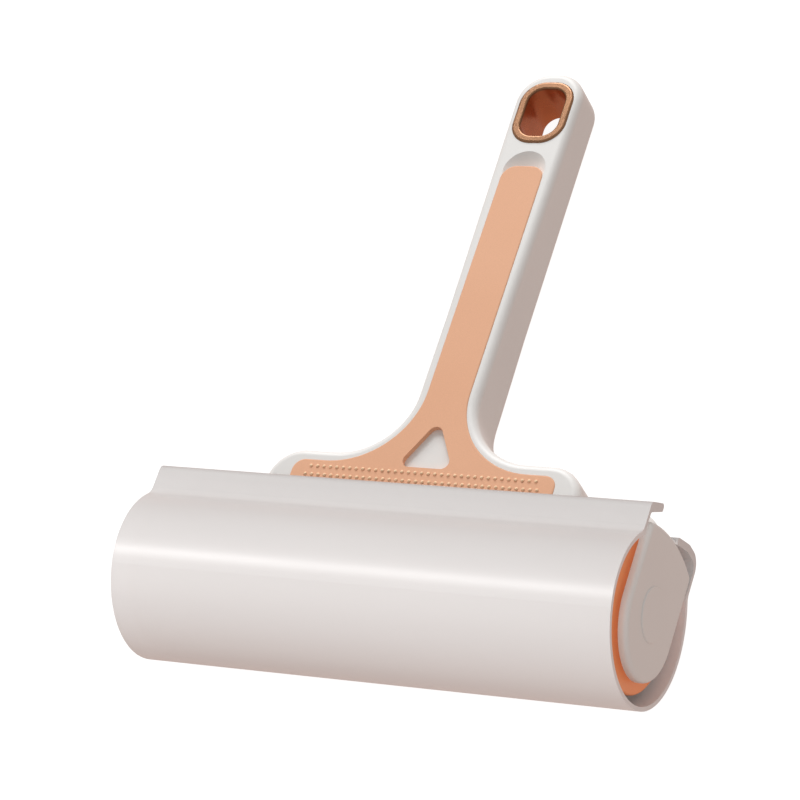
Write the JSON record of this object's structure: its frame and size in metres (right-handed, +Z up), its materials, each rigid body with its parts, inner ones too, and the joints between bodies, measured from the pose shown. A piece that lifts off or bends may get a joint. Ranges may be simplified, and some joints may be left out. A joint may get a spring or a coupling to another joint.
{
  "type": "lint roller",
  "caption": "Wide lint roller with a T-shaped padded handle, a refillable sticky-paper roll between two arms and a frosted slide-on dust cover.",
  "frame": {"origin": "middle of the resting footprint: the centre of the bounding box, on the surface that the roller lies on", "axes": "+X along the roller's axle, +Y from the roller towards the end of the handle, +Z up, out of the padded face of the handle"},
  "size_m": [0.1748, 0.2248, 0.0578],
  "materials": {
    "white_shell": "satin white injection moulding",
    "peach_grip": "soft matt peach elastomer",
    "copper_liner": "rose-gold plated ring",
    "screw_steel": "zinc-plated screw",
    "orange_cap": "matt terracotta orange",
    "drum_plastic": "plain moulded plastic",
    "core_board": "spiral-wound board",
    "sticky_paper": "wound adhesive paper",
    "frosted_cover": "frosted translucent polypropylene"
  },
  "bodies": {
    "handle": {"handle_front_shell": "white_shell", "handle_back_shell": "white_shell", "grip_pad": "peach_grip", "hanging_hole_liner": "copper_liner", "yoke_frame": "white_shell", "axle_pin_left": "white_shell", "axle_pin_right": "white_shell", "handle_screw_1": "screw_steel", "handle_screw_2": "screw_steel", "handle_screw_3": "screw_steel", "handle_screw_4": "screw_steel", "handle_screw_5": "screw_steel", "screw_plug_1": "white_shell", "screw_plug_2": "white_shell", "screw_plug_3": "white_shell", "screw_plug_4": "white_shell", "screw_plug_5": "white_shell"},
    "roller": {"end_cap_left": "orange_cap", "end_cap_right": "orange_cap", "roller_drum": "drum_plastic", "cardboard_core": "core_board", "sticky_paper_roll": "sticky_paper"},
    "cover": {"dust_cover": "frosted_cover"}
  },
  "joints": [
    {"name": "roller_spin", "type": "hinge", "parent": "handle", "child": "roller", "pos_m": [0, -0.08335, 0.029], "axis": [1, 0, 0], "continuous": true},
    {"name": "cover_slide", "type": "slide", "parent": "handle", "child": "cover", "axis": [1, 0, 0], "range_m": [-0.147, 0.147]}
  ]
}
